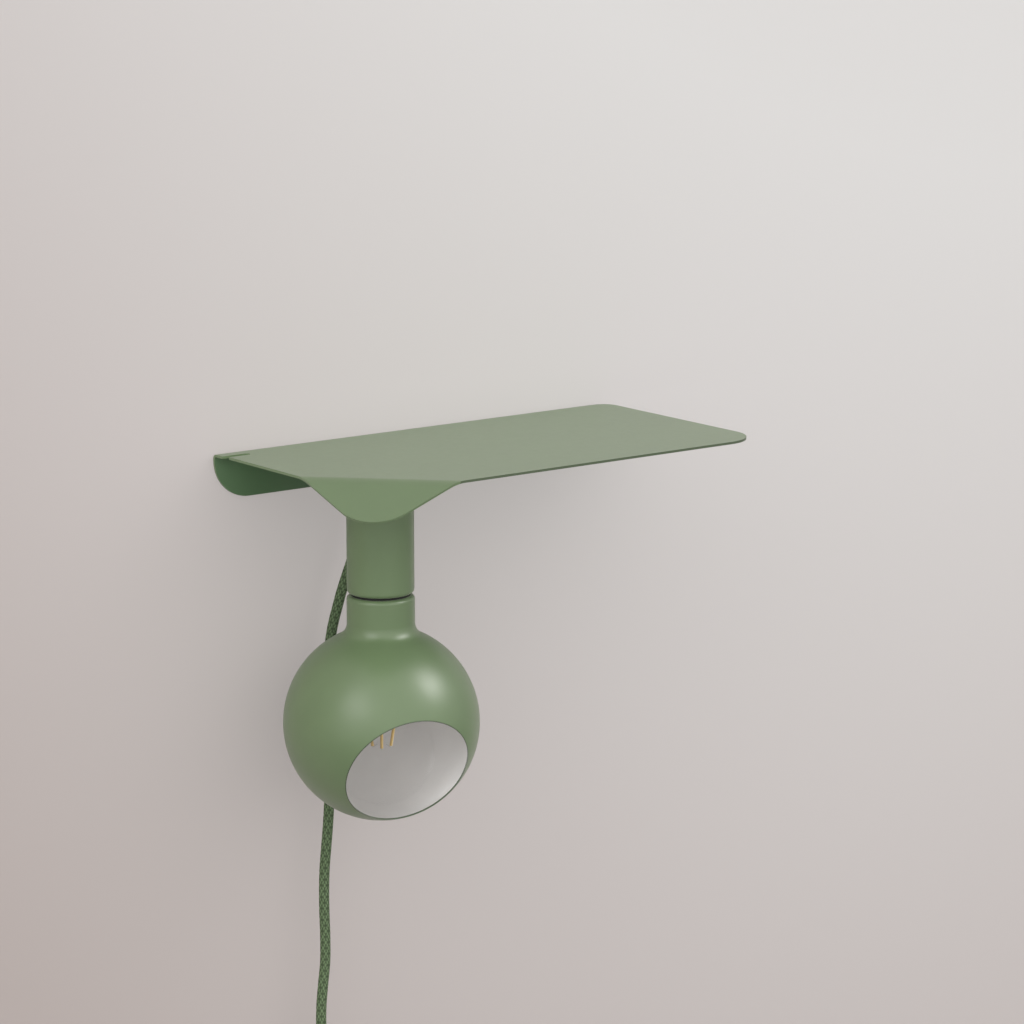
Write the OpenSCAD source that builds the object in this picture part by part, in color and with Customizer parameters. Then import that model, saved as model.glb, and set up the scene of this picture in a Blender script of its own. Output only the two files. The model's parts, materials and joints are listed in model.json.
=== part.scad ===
// Wall lamp with shelf: a folded sheet shelf, a cup lamp held under it by a magnet,
// a spherical shade and a textile lead with switch and plug.
// X runs along the wall to the right, Y goes into the wall, Z is up.
// The origin is midway between the two wall holes, on the wall face.

/* [Shelf sheet] */
// Length of the shelf along the wall
shelf_w = 298; // [260:1:360]
// Depth of the shelf from the wall
shelf_d = 156.5; // [150:0.5:200]
// Thickness of the sheet
sheet_t = 1.5; // [1:0.1:2.5]
// Outer radius of the bend along the wall
rear_bend_r = 3; // [2.6:0.1:5]
// Height of the wall flange, from the shelf's top face
flange_h = 28; // [27:0.5:45]
// Radius of the flange's lower corners
flange_corner_r = 24; // [5:0.5:24]
// Distance of the flange's right end from the shelf's right end
flange_inset = 12; // [0:1:30]
// Distance of the plate's left edge from the flange's left end
side_inset = 2; // [0:0.5:8]
// Radius of the front right corner
front_corner_r = 25; // [5:1:40]
// Radius of the rear right corner
rear_corner_r = 10; // [2:1:20]
// Height of the shelf's top face over the wall holes
hole_drop = 16; // [10:0.5:20]
// Distance between the two wall holes
hole_spacing = 180; // [120:5:220]
// Diameter of the wall holes
hole_d = 5; // [3:0.1:7]

/* [Folded corner] */
// Distance from the wall at which the fold line would meet the flange's left end
fold_start = 85; // [70:1:110]
// Angle by which the corner is folded down
fold_angle = 33; // [10:1:60]
// Inner radius of the fold
fold_r = 12; // [4:1:20]
// Radius of the folded corner's tip
tip_r = 26; // [8:1:27]

/* [Cable slot] */
// Length of the slot from the plate's left edge
slot_len = 16; // [8:1:30]
// Width of the slot
slot_w = 4.5; // [4.4:0.1:8]
// Distance of the slot's rear edge from the wall
slot_from_wall = 10; // [8:0.5:20]

/* [Lamp place] */
// Distance of the lamp's axis from the flange's left end
lamp_from_left = 68; // [60:1:90]
// Distance of the lamp's axis from the wall
lamp_from_wall = 76; // [70:1:90]

/* [Magnet] */
// Diameter of the magnet's steel pot
pot_d = 32; // [26:0.5:35]
// Height of the pot
pot_h = 7; // [6:0.5:9]
// Wall of the pot
pot_wall = 2; // [1:0.1:3]
// Floor of the pot
pot_floor = 2.2; // [1.5:0.1:3]
// Bore of the magnet ring
ring_bore_d = 13; // [11:0.5:16]
// How deep the magnet ring lies below the pot's rim
ring_recess = 0.2; // [0:0.1:0.5]
// Diameter of the pivot screw's shank
screw_d = 5; // [4:0.1:6]
// Diameter of the pivot screw's head
screw_head_d = 9; // [8:0.5:10]
// Height of the pivot screw's head
screw_head_h = 2.6; // [1.5:0.1:3]
// Radial play of the pivot screw
pivot_play = 0.05; // [0.02:0.01:0.1]
// Thickness of the swivel washer
washer_t = 1; // [0.5:0.1:2]
// Diameter of the swivel washer
washer_d = 24; // [16:1:28]
// Thickness of the carrier plate
carrier_t = 2; // [1.5:0.1:3]
// Gap between the carrier's skirt and the gland's nut
skirt_gap = 1; // [0.5:0.5:4]
// Width over the flats of the pivot nut
nut_flats = 8; // [7:0.5:10]
// Height of the pivot nut
nut_h = 4.5; // [3:0.5:6]

/* [Cup] */
// Outer diameter of the cup
cup_d = 40.3; // [39:0.1:46]
// Wall of the cup
cup_wall = 1; // [0.6:0.1:1.5]
// Gap between the cup's rim and the shelf
cup_gap = 0.3; // [0.2:0.1:1]
// Distance of the cup's lower face below the shelf
cup_drop = 78.5; // [70:0.1:90]
// Outer radius of the cup's lower edge
cup_edge_r = 2.4; // [1.6:0.1:2.8]

/* [Cord gland] */
// Distance of the gland's axis above the lampholder
gland_up = 11.5; // [10:0.5:13]
// Turn of the gland from the wall's normal, to the right
gland_turn = 23; // [0:1:45]
// Diameter of the gland's threaded part
gland_thread_d = 10; // [9:0.5:11]
// Diameter of the gland's collar
gland_collar_d = 13; // [12:0.5:15]
// Diameter of the gland's mouth
gland_mouth_d = 9; // [8.6:0.1:10]
// Length of the gland's tapered sleeve and collar outside the cup
gland_out = 12; // [10:0.5:16]
// Length of the gland inside the cup's outer face
gland_in = 8; // [7:0.5:9]
// Height of the gland's collar
collar_h = 3.4; // [3.2:0.1:5]
// Width over the flats of the gland's nut
gland_nut_flats = 13; // [12:0.5:13.5]
// Height of the gland's nut
gland_nut_h = 2.8; // [2:0.1:3.5]
// Diameter of the cord grip screw
grip_d = 2.5; // [2:0.1:3]
// Radial gap round what sits in a hole
fit_gap = 0.1; // [0.05:0.01:0.2]

/* [Lampholder] */
// Outer diameter of the lampholder
holder_d = 32; // [31:0.5:33]
// Length of the lampholder
holder_len = 58; // [56:0.5:60]
// How far the lampholder stands out below the cup
holder_out = 17.5; // [16.5:0.5:19.5]
// Thickness of the lampholder's upper wall
holder_roof = 3; // [2:0.5:5]
// Bore of the lampholder
holder_bore_d = 28; // [27.8:0.1:29]
// Depth of the insulating core below the roof
core_h = 20; // [15:1:24]
// Wall of the threaded shell
shell_wall = 0.5; // [0.4:0.1:0.7]
// Distance of the shell's lower end above the rim
shell_up = 6; // [4:1:10]
// Height of the rings on the lampholder
ring_h = 7; // [4:0.5:9]
// Outer diameter of the rings on the lampholder
ring_d = 35; // [34:0.5:35.4]
// Number of grip notches round a ring
ring_notches = 16; // [8:1:24]
// Radial play between the lampholder and what turns on it
turn_play = 0.05; // [0.02:0.01:0.1]
// Thickness of the washer between cup and shade
gasket_t = 1.4; // [1:0.1:2]

/* [Shade] */
// Outer radius of the shade's sphere
sphere_r = 59; // [55:0.5:61]
// Wall of the shade
shade_wall = 1; // [0.8:0.1:1.5]
// Outer diameter of the shade's neck
neck_d = 40.8; // [39.5:0.1:44]
// Radius of the neck's upper edge
neck_edge_r = 2.5; // [1.6:0.1:2.7]
// Radius of the hollow curve between neck and sphere
neck_fillet_r = 9; // [4:0.5:14]
// Distance of the sphere's centre below the neck's upper face
sphere_drop = 78.3; // [74:0.1:79]
// Half angle of the opening, seen from the sphere's centre
mouth_half = 40.5; // [25:0.5:41]
// Turn of the opening from the wall's normal, to the left
mouth_turn = 13; // [-60:1:60]
// Tilt of the opening below the horizontal
mouth_tilt = 27; // [10:1:35]

/* [Bulb] */
// Diameter of the bulb's round end
bulb_d = 64; // [50:1:66]
// Length of the glass
bulb_len = 112; // [105:1:113]
// Diameter of the glass at the cap
bulb_neck_d = 31; // [29:0.5:33]
// Length of the glass's straight neck
bulb_straight = 6.5; // [2:0.5:15]
// Thickness of the glass
glass_t = 0.8; // [0.5:0.1:1.2]
// Diameter of the screw cap
cap_d = 26.2; // [25.8:0.1:26.4]
// Height of the screw cap
cap_h = 22; // [20:0.5:23]
// Thickness of the cap's metal
cap_wall = 0.4; // [0.3:0.1:0.5]
// Diameter of the stem inside the bulb
stem_d = 5; // [3:0.5:7]
// Number of filaments
filament_count = 4; // [2:1:6]
// Diameter of a filament
filament_d = 1.8; // [1:0.1:2.5]
// Height covered by the filaments
filament_h = 38; // [25:1:45]
// Distance of the filaments' lower ends from the bulb's tip
filament_up = 36; // [30:1:45]
// Radius of the circle of the filaments' upper ends
filament_top_r = 11.5; // [8:0.5:13]
// Radius of the circle of the filaments' lower ends
filament_low_r = 5.5; // [4:0.5:8]
// Direction of the first filament from the X axis
filament_turn = 235; // [0:1:360]

/* [Lead] */
// Diameter of the lead
cord_d = 6.5; // [6:0.1:6.6]
// Diameter of one wire inside the lead
wire_d = 2; // [1.6:0.1:2.2]
// Distance of each wire from the lead's middle
wire_off = 2.2; // [1.9:0.1:2.2]
// Bend radius of the wires
wire_bend_r = 4; // [3:0.5:5]

/* [Coil of spare lead] */
// Radius of the outermost turn, at the lead's middle
coil_r = 48.5; // [46:0.5:56]
// Distance between turns
turn_pitch = 7.1; // [7:0.05:7.5]
// Distance between the two layers
layer_pitch = 7.1; // [7:0.05:8]
// Whole turns, besides the sixth of a turn between the two ends
coil_turns = 6; // [4:1:6]
// Width of the tie
tie_w = 8; // [5:0.5:10]
// Thickness of the tie
tie_t = 1.2; // [0.8:0.1:2]
// Room between the tie and the turns
tie_gap = 0.4; // [0.3:0.1:0.5]
// Place of the tie round the coil, from the right hand side
tie_turn = 100; // [90:1:120]

/* [Cord switch] */
// Length of the switch
switch_len = 62; // [56:1:70]
// Width of the switch at its middle
switch_w = 24; // [21:0.5:28]
// Width of the switch at its ends
switch_end_w = 16; // [12:0.5:20]
// Thickness of the switch at its middle
switch_t = 17; // [15:0.5:19]
// Thickness of the switch at its ends
switch_end_t = 12; // [10:0.5:14]
// Width of the rocker
rocker_w = 12; // [10:0.5:14]
// Length of the rocker
rocker_len = 21.6; // [18:0.2:24]
// Gap along each side of the rocker
rocker_gap = 0.4; // [0.3:0.1:0.6]
// Travel of the rocker to each side of level
rocker_tilt = 8; // [4:1:10]
// Height of the rocker's pin over the seam
rocker_pin_up = 4.5; // [4:0.1:5]
// Diameter of the rocker's pins
rocker_pin_d = 2.4; // [2:0.1:3]
// Diameter of the switch's screw heads
switch_screw_d = 5; // [4:0.5:6]
// Distance of the screws from the switch's middle
switch_screw_at = 22; // [18:0.5:24]

/* [Plug] */
// Width of the plug
plug_w = 35.3; // [33:0.1:36]
// Thickness of the plug
plug_t = 13.7; // [12:0.1:14]
// Length of the plug's body
plug_len = 36; // [32:1:40]
// Length of the plug's tapered relief
relief_len = 20; // [20:1:24]
// Diameter of a pin
pin_d = 4; // [3.8:0.1:4.4]
// Length of a pin outside the body
pin_len = 19; // [18:0.5:20]
// Distance between the pins
pin_spacing = 18.6; // [17.5:0.1:19]
// Length of the sleeve on a pin
sleeve_len = 10; // [8:0.5:11]
// How deep the pins sit in the body
pin_root = 9; // [6:0.5:12]

/* [Hidden] */
$fn = 96;
steps_per_turn = 24;
top_z = hole_drop;
under_z = top_z - sheet_t;
left = -shelf_w / 2;
right = shelf_w / 2;
front = -shelf_d;
flange_right = right - flange_inset;
plate_left = left + side_inset;
lamp_x = left + lamp_from_left;
deg = 180 / PI;

// Folded corner: the fold line runs at 45 degrees across the front left corner
fold_leg = shelf_d - fold_start - side_inset;
fold_half = fold_leg / sqrt(2);
fold_out_r = fold_r + sheet_t;
fold_mid_r = fold_r + sheet_t / 2;
fold_parts = 3;
fold_facets = 12;
fold_arc = fold_mid_r * fold_angle / deg;

// Levels below the shelf, at the lamp's axis
cup_r = cup_d / 2;
cup_floor = cup_drop - cup_wall;
carrier_top = pot_h + washer_t;
screw_top = pot_h - pot_floor - screw_head_h;
ring_seat = pot_h - pot_floor;
screw_end = carrier_top + carrier_t + nut_h + 1;
holder_r = holder_d / 2;
holder_rim = cup_drop + holder_out;
holder_top = holder_rim - holder_len;
gland_drop = holder_top - gland_up;
skirt_low = gland_drop - gland_nut_flats / cos(30) / 2 - skirt_gap;
gasket_low = cup_drop + gasket_t;
shade_top = gasket_low;
shade_ring_top = shade_top + shade_wall;
sphere_z = shade_top + sphere_drop;
core_low = holder_top + holder_roof + core_h;
shell_r = holder_bore_d / 2 - fit_gap;
shell_low = holder_rim - shell_up;
glass_top = holder_rim + 1;
bulb_rise = bulb_len - bulb_d / 2 - bulb_straight;
bulb_fillet_r = (bulb_rise * bulb_rise + pow(bulb_neck_d / 2, 2) - pow(bulb_d / 2, 2)) / (bulb_d - bulb_neck_d);
cap_top = glass_top - cap_h;
button_h = 1.2;
collet_h = 3;
button_top = cap_top - collet_h - button_h;
bulb_tip = glass_top + bulb_len;
filament_low = bulb_tip - filament_up;
filament_top = filament_low - filament_h;
gland_mouth = cup_r + gland_out;
gland_root = cup_r - gland_in;
lead_root = 6;
terminal_h = 4;

// Route of the lead: from the gland past the sphere to the switch, then to the coil
drop_route = [
    [-68.4, -46.4, -12], [-67.2, -43.6, -12], [-65, -38.4, -12.8], [-62.7, -32.9, -15.2],
    [-60.4, -27.8, -20], [-58.1, -23.2, -27.5], [-56.9, -20.8, -36], [-57.6, -19.3, -44],
    [-60, -18.6, -51.5], [-62.7, -17.9, -59.5], [-65.6, -17, -68], [-68.4, -16, -77],
    [-70.5, -14.8, -86], [-72.6, -13.5, -95.5], [-74.2, -12.5, -106], [-75, -12, -118],
    [-75.1, -11.7, -130], [-75, -11.5, -143], [-75, -11.5, -161], [-75.2, -11.5, -179],
    [-75.4, -11.6, -196], [-76.2, -12, -212], [-78, -13.1, -225], [-80.3, -14.4, -238],
    [-82.3, -15.5, -250], [-83.5, -16.5, -263], [-84, -17.3, -277], [-84.1, -18.1, -292],
    [-84.9, -19, -308], [-86.9, -19.6, -321.5], [-88.8, -20.2, -335], [-89.9, -21.2, -348],
    [-90.1, -22, -360], [-90, -22, -368]
];
link_route = [
    [-90, -22, -430], [-90, -22, -438], [-88.6, -22, -448.4], [-84.6, -22, -458],
    [-78.3, -22, -466.3], [-70, -22, -472.6]
];
tail_route = [[-40.1, -29.1, -524.4], [-40.1, -29.1, -531], [-40.1, -29.1, -538]];

switch_at = [-90, -22, -368 - switch_len / 2];
heading = [cos(30), 0, -sin(30)];
coil_in = [-70, -22, -472.6];
coil_join = coil_in + cord_d * heading;
coil_centre = coil_join - coil_r * [cos(60), 0, sin(60)];
coil_sweep = 60 + 360 * coil_turns;
coil_steps = round(coil_sweep / 360 * steps_per_turn);
plug_at = [-40.1, -29.1, -538];

// ---------------------------------------------------------------- helpers

// Removes a sharp corner at the origin, with the sheet on its -x and -y side
module corner_cut(r) {
    difference() {
        translate([-r, -r]) square(r + 1);
        translate([-r, -r]) circle(r);
    }
}

// Tube between two depths below the shelf
module band(d_out, d_in, top, low) {
    translate([0, 0, -low]) difference() {
        cylinder(d = d_out, h = low - top);
        translate([0, 0, -1]) cylinder(d = d_in, h = low - top + 2);
    }
}

// Round bar between two points
module bar(p, q, d) {
    v = q - p;
    flat = norm([v.x, v.y]);
    translate(p) rotate([0, atan2(flat, v.z), atan2(v.y, v.x)]) cylinder(d = d, h = norm(v), $fn = 24);
}

// At the lamp's axis, with the shelf's underside as zero height
module at_lamp() {
    translate([lamp_x, -lamp_from_wall, under_z]) children();
}

// Along the gland's axis, with the lamp's axis as zero and the lead's way out as +Z
module at_gland() {
    at_lamp() translate([0, 0, -gland_drop]) rotate([0, 0, -gland_turn]) rotate([-90, 0, 0]) children();
}

// In the switch, with +Z towards the room and +Y up
module at_switch() {
    translate(switch_at) rotate([90, 0, 0]) children();
}

// Half section of a ball with a neck that runs into it in a hollow curve.
// A block is cut to the neck, then to the hollow curve, then to the ball.
module necked_ball(neck_r, ball_r, fillet, top, centre) {
    reach = neck_r + fillet;
    rise = sqrt(pow(ball_r + fillet, 2) - reach * reach);
    side = reach + ball_r;
    low = -centre - ball_r - 1;
    difference() {
        polygon([[0, -top], [neck_r, -top], [neck_r, rise - centre], [side, rise - centre],
            [side, low], [0, low]]);
        translate([reach, rise - centre]) circle(fillet, $fn = 180);
        difference() {
            polygon([[0, -centre], [reach, rise - centre], [side + 1, rise - centre],
                [side + 1, low - 1], [0, low - 1]]);
            translate([0, -centre]) circle(ball_r, $fn = 180);
        }
    }
}

// Rings of a tube along a path; each ring is square to the path
function unit(v) = v / norm(v);
function along(path, i) = unit(path[min(i + 1, len(path) - 1)] - path[max(i - 1, 0)]);
function tube_ring(p, dir, r, sides, side_dir) =
    let (u = unit(cross(dir, side_dir)), v = cross(u, dir))
    [for (k = [0:sides - 1]) p + r * (cos(360 * k / sides) * u + sin(360 * k / sides) * v)];
function tube_points(path, dirs, r, sides, side_dir) =
    [for (i = [0:len(path) - 1]) each tube_ring(path[i], dirs[i], r, sides, side_dir)];
function tube_faces(rings, sides) = concat(
    [for (k = [1:sides - 2]) [0, k, k + 1]],
    [for (i = [0:rings - 2], k = [0:sides - 1], half = [0, 1])
        let (a = i * sides + k, b = i * sides + (k + 1) % sides)
        half == 0 ? [a, a + sides, b] : [b, a + sides, b + sides]],
    [for (k = [1:sides - 2]) let (s = (rings - 1) * sides) [s, s + k + 1, s + k]]
);

module tube(path, dirs, d, sides, side_dir) {
    polyhedron(tube_points(path, dirs, d / 2, sides, side_dir), tube_faces(len(path), sides), convexity = 10);
}

// ---------------------------------------------------------------- shelf

module plate_outline() {
    difference() {
        union() {
            polygon([[plate_left, -rear_bend_r], [right, -rear_bend_r], [right, front],
                [plate_left + fold_leg, front], [plate_left, front + fold_leg]]);
            translate([left, -slot_from_wall]) square([side_inset + 1, slot_from_wall - rear_bend_r]);
        }
        translate([right, -rear_bend_r]) corner_cut(rear_corner_r);
        translate([right, front]) mirror([0, 1]) corner_cut(front_corner_r);
        translate([left - 1, -slot_from_wall - slot_w]) {
            square([side_inset + slot_len + 1 - slot_w / 2, slot_w]);
            translate([side_inset + slot_len + 1 - slot_w / 2, slot_w / 2]) circle(d = slot_w);
        }
    }
}

module flange_outline() {
    difference() {
        translate([left, -flange_h]) square([flange_right - left, flange_h - rear_bend_r]);
        translate([flange_right, -flange_h]) mirror([0, 1]) corner_cut(flange_corner_r);
        translate([left, -flange_h]) mirror([1, 0]) mirror([0, 1]) corner_cut(flange_corner_r);
    }
}

// Sector of a bent sheet, starting upright and turning towards +x
module bend_sector(inner, outer, angle) {
    intersection() {
        difference() {
            circle(outer);
            circle(inner);
        }
        polygon([[0, 0], [0, 2 * outer], [2 * outer * sin(angle), 2 * outer * cos(angle)]]);
    }
}

// Section across the fold: the end of the plate, the bend and the folded corner
module fold_section() {
    steps = [0:fold_facets];
    turn = fold_angle / fold_facets;
    out = [cos(fold_angle), -sin(fold_angle)] * fold_half;
    up = [sin(fold_angle), cos(fold_angle)];
    polygon(concat([[-1, fold_r], [-1, fold_out_r]],
        [for (i = steps) fold_out_r * [sin(i * turn), cos(i * turn)]],
        [fold_out_r * up + out, fold_r * up + out],
        [for (i = steps) fold_r * [sin(fold_angle - i * turn), cos(fold_angle - i * turn)]]));
}

// What the sheet's outline leaves of a part of the bend, whose ends narrow at 45 degrees
module fold_outline(i) {
    turn = fold_angle / fold_parts;
    chord = 2 * fold_mid_r * sin(turn / 2);
    slope = fold_arc / fold_parts / chord;
    half = fold_half - i * fold_arc / fold_parts;
    over = 0.1;
    rotate([-i * turn, 0, 0]) translate([0, 0, fold_mid_r]) rotate([-turn / 2, 0, 0])
        linear_extrude(4 * sheet_t, center = true)
        polygon([[-half - slope * over, -over], [half + slope * over, -over],
            [half - slope * (chord + over), chord + over], [-half + slope * (chord + over), chord + over]]);
}

module tab_outline() {
    half = fold_half - fold_arc;
    centre = half - tip_r * sqrt(2);
    reach = tip_r * cos(45);
    intersection() {
        union() {
            polygon([[-half - 0.1, -0.1], [half + 0.1, -0.1], [reach, centre + reach], [-reach, centre + reach]]);
            translate([0, centre]) circle(tip_r);
        }
        translate([-fold_half, -0.1]) square([2 * fold_half, fold_half]);
    }
}

// Folded corner, with the bend's axis as origin and the corner pointing along +Y
module folded_corner() {
    intersection() {
        rotate([90, 0, 90]) linear_extrude(2 * fold_half + 2, center = true) fold_section();
        union() {
            translate([0.5 - fold_half, -1, fold_r - 1]) cube([2 * fold_half - 1, 1.3, sheet_t + 2]);
            for (i = [0:fold_parts - 1]) fold_outline(i);
            rotate([-fold_angle, 0, 0]) translate([0, 0, fold_r - 1]) linear_extrude(sheet_t + 2) tab_outline();
        }
    }
}

module shelf() {
    color([0.36, 0.49, 0.33]) difference() {
        union() {
            translate([0, 0, under_z]) linear_extrude(sheet_t) plate_outline();
            translate([left, -rear_bend_r, top_z - rear_bend_r]) rotate([90, 0, 90])
                linear_extrude(flange_right - left) bend_sector(rear_bend_r - sheet_t, rear_bend_r, 90);
            translate([0, 0, top_z]) rotate([90, 0, 0]) linear_extrude(sheet_t) flange_outline();
            translate([plate_left + fold_leg / 2, front + fold_leg / 2, top_z - fold_out_r])
                rotate(135) folded_corner();
        }
        for (side = [-1, 1]) translate([side * hole_spacing / 2, 1, 0]) rotate([90, 0, 0])
            cylinder(d = hole_d, h = sheet_t + 2);
    }
}

// ---------------------------------------------------------------- magnet

module magnet_pot() {
    color([0.7, 0.71, 0.72]) at_lamp() translate([0, 0, -pot_h]) difference() {
        cylinder(d = pot_d, h = pot_h);
        translate([0, 0, pot_floor]) cylinder(d = pot_d - 2 * pot_wall, h = pot_h);
        translate([0, 0, -1]) cylinder(d = screw_d + 2 * fit_gap, h = pot_h);
    }
}

module magnet_ring() {
    color([0.25, 0.25, 0.27]) at_lamp()
        band(pot_d - 2 * pot_wall - 2 * fit_gap, ring_bore_d, ring_recess, ring_seat);
}

module pivot_screw() {
    color([0.75, 0.75, 0.76]) at_lamp() {
        difference() {
            translate([0, 0, -ring_seat]) cylinder(d = screw_head_d, h = screw_head_h);
            translate([-screw_head_d / 2 - 1, -0.6, -ring_seat + screw_head_h - 1.2])
                cube([screw_head_d + 2, 1.2, 2]);
        }
        translate([0, 0, -screw_end]) cylinder(d = screw_d, h = screw_end - ring_seat);
    }
}

module pivot_nut() {
    color([0.72, 0.72, 0.73]) at_lamp() translate([0, 0, -carrier_top - carrier_t - nut_h]) difference() {
        cylinder(d = nut_flats / cos(30), h = nut_h, $fn = 6);
        translate([0, 0, -1]) cylinder(d = screw_d + 2 * pivot_play, h = nut_h + 2);
    }
}

module swivel_washer() {
    color([0.9, 0.9, 0.87]) at_lamp() band(washer_d, screw_d + 2 * fit_gap, pot_h, carrier_top);
}

// ---------------------------------------------------------------- cup and gland

module carrier() {
    outer = cup_d - 2 * cup_wall - 2 * fit_gap;
    color([0.68, 0.69, 0.7]) at_lamp() {
        band(outer, screw_d + 2 * pivot_play, carrier_top, carrier_top + carrier_t);
        band(outer, outer - carrier_t, carrier_top + carrier_t / 2, skirt_low);
    }
}

module cup() {
    color([0.36, 0.5, 0.33]) at_lamp() difference() {
        rotate_extrude() difference() {
            translate([0, -cup_drop]) square([cup_r, cup_drop - cup_gap]);
            translate([cup_r, -cup_drop]) mirror([0, 1]) corner_cut(cup_edge_r);
            difference() {
                translate([0, -cup_floor]) square([cup_r - cup_wall, cup_drop]);
                translate([cup_r - cup_wall, -cup_floor]) mirror([0, 1]) corner_cut(cup_edge_r - cup_wall);
            }
            translate([0, -cup_drop - 1]) square([holder_r + fit_gap, cup_drop]);
        }
        translate([0, 0, -gland_drop]) rotate([0, 0, -gland_turn]) rotate([-90, 0, 0])
            cylinder(d = gland_thread_d + 2 * fit_gap, h = cup_r + 1);
    }
}

module cord_gland() {
    color([0.2, 0.28, 0.2]) difference() {
        union() {
            at_gland() translate([0, 0, gland_root])
                cylinder(d = gland_thread_d, h = gland_mouth - gland_root - gland_out + collar_h);
            difference() {
                at_gland() {
                    translate([0, 0, gland_root]) cylinder(d = gland_collar_d, h = gland_in + collar_h);
                    translate([0, 0, cup_r + collar_h]) cylinder(d1 = gland_collar_d - 1, d2 = gland_mouth_d,
                        h = gland_out - collar_h);
                }
                at_lamp() translate([0, 0, -cup_drop]) cylinder(r = cup_r + fit_gap, h = cup_drop);
            }
        }
        at_gland() translate([0, 0, gland_root - 1])
            cylinder(d = cord_d + 2 * fit_gap, h = gland_mouth - gland_root + 2);
        at_gland() translate([0, cord_d / 2, cup_r + collar_h / 2]) rotate([-90, 0, 0])
            cylinder(d = grip_d + 2 * fit_gap, h = gland_collar_d, $fn = 48);
    }
}

module gland_nut() {
    corner = gland_nut_flats / cos(30) / 2;
    face = sqrt(pow(cup_r - cup_wall, 2) - corner * corner) - fit_gap;
    color([0.16, 0.16, 0.17]) at_gland() translate([0, 0, face - gland_nut_h]) difference() {
        cylinder(r = corner, h = gland_nut_h, $fn = 6);
        translate([0, 0, -1]) cylinder(d = gland_thread_d + 2 * fit_gap, h = gland_nut_h + 2);
    }
}

module grip_screw() {
    color([0.7, 0.7, 0.72]) at_gland() translate([0, cord_d / 2 + 2 * fit_gap, cup_r + collar_h / 2])
        rotate([-90, 0, 0]) cylinder(d = grip_d, h = (gland_collar_d - cord_d) / 2 - 4 * fit_gap, $fn = 48);
}

module inner_lead() {
    color([0.3, 0.42, 0.28]) at_gland() translate([0, 0, lead_root]) cylinder(d = cord_d, h = gland_mouth - lead_root);
}

// A wire from the lead's end, over a quarter bend, down into its terminal
module wire(side) {
    drop_end = holder_top - gland_drop - 0.5;
    at_gland() translate([side * wire_off, 0, 0]) {
        translate([0, 0, wire_bend_r]) cylinder(d = wire_d, h = lead_root - wire_bend_r, $fn = 32);
        translate([0, wire_bend_r, wire_bend_r]) rotate([0, -90, 0]) rotate([0, 0, 180])
            rotate_extrude(angle = 90, $fn = 48) translate([wire_bend_r, 0]) circle(d = wire_d, $fn = 32);
        translate([0, wire_bend_r, 0]) rotate([-90, 0, 0])
            cylinder(d = wire_d, h = drop_end - wire_bend_r, $fn = 32);
    }
}

module wire_live() {
    color([0.45, 0.28, 0.16]) wire(1);
}

module wire_neutral() {
    color([0.15, 0.3, 0.55]) wire(-1);
}

// ---------------------------------------------------------------- lampholder

module at_terminal(side) {
    at_lamp() rotate([0, 0, -gland_turn]) translate([side * (wire_off + 1), 0, -holder_top]) children();
}

module terminals() {
    color([0.78, 0.65, 0.35]) for (side = [-1, 1]) difference() {
        at_terminal(side) translate([-2.4, -3.5, 0]) cube([4.8, 7, terminal_h]);
        at_terminal(side) translate([-side, 0, 0.3]) cylinder(d = wire_d + 2 * fit_gap, h = terminal_h, $fn = 32);
    }
}

module terminal_screws() {
    color([0.75, 0.75, 0.76]) for (side = [-1, 1]) at_terminal(side)
        translate([side * 2.4, 0, terminal_h / 2]) rotate([0, side * 90, 0]) difference() {
            cylinder(d = 3.4, h = 1.6, $fn = 48);
            translate([-3, -0.3, 1]) cube([6, 0.6, 1]);
        }
}

module lampholder() {
    color([0.12, 0.12, 0.12]) at_lamp() difference() {
        translate([0, 0, -holder_rim]) cylinder(d = holder_d, h = holder_rim - holder_top);
        translate([0, 0, -holder_rim - 1])
            cylinder(d = holder_bore_d, h = holder_rim - holder_top - holder_roof + 1);
    }
}

module holder_core() {
    top = holder_top + holder_roof;
    color([0.9, 0.9, 0.86]) at_lamp() translate([0, 0, -core_low]) difference() {
        cylinder(r = shell_r, h = core_low - top);
        for (turn = [0, 180]) rotate(turn) translate([shell_r / 2, -2, -1])
            cube([4, 4, core_low - top + 2]);
    }
}

module holder_shell() {
    color([0.8, 0.7, 0.42]) at_lamp() band(2 * shell_r, 2 * (shell_r - shell_wall), core_low, shell_low);
}

// Leaf that rests on the core, reaches in under it and down to the bulb
module holder_contact() {
    low = button_top - 0.3;
    leaf = 0.6;
    color([0.8, 0.66, 0.36]) at_lamp() rotate([90, 0, 0]) translate([0, 0, -3]) linear_extrude(6)
        polygon([[11, -core_low], [-2.5, -core_low], [-2.5 - leaf, -core_low - leaf], [-5, -low + leaf],
            [-2, -low], [3, -low], [3, -low + leaf], [-2, -low + leaf], [-4.2, -low + 2 * leaf],
            [-2.5, -core_low - leaf], [11, -core_low - leaf]]);
}

// Threaded ring with grip notches, its upper face at a depth below the shelf
module locking_ring(top) {
    at_lamp() translate([0, 0, -top - ring_h]) difference() {
        cylinder(d = ring_d, h = ring_h);
        translate([0, 0, -1]) cylinder(r = holder_r + turn_play, h = ring_h + 2);
        for (i = [0:ring_notches - 1]) rotate(i * 360 / ring_notches)
            translate([ring_d / 2 + 0.4, 0, -1]) cylinder(d = 2, h = ring_h + 2, $fn = 32);
    }
}

module cup_ring() {
    color([0.14, 0.14, 0.14]) locking_ring(cup_floor - ring_h);
}

module shade_washer() {
    color([0.05, 0.05, 0.05]) at_lamp() band(ring_d, holder_d + 2 * fit_gap, cup_drop, gasket_low);
}

module shade_ring() {
    color([0.14, 0.14, 0.14]) locking_ring(shade_ring_top);
}

// ---------------------------------------------------------------- shade

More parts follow.
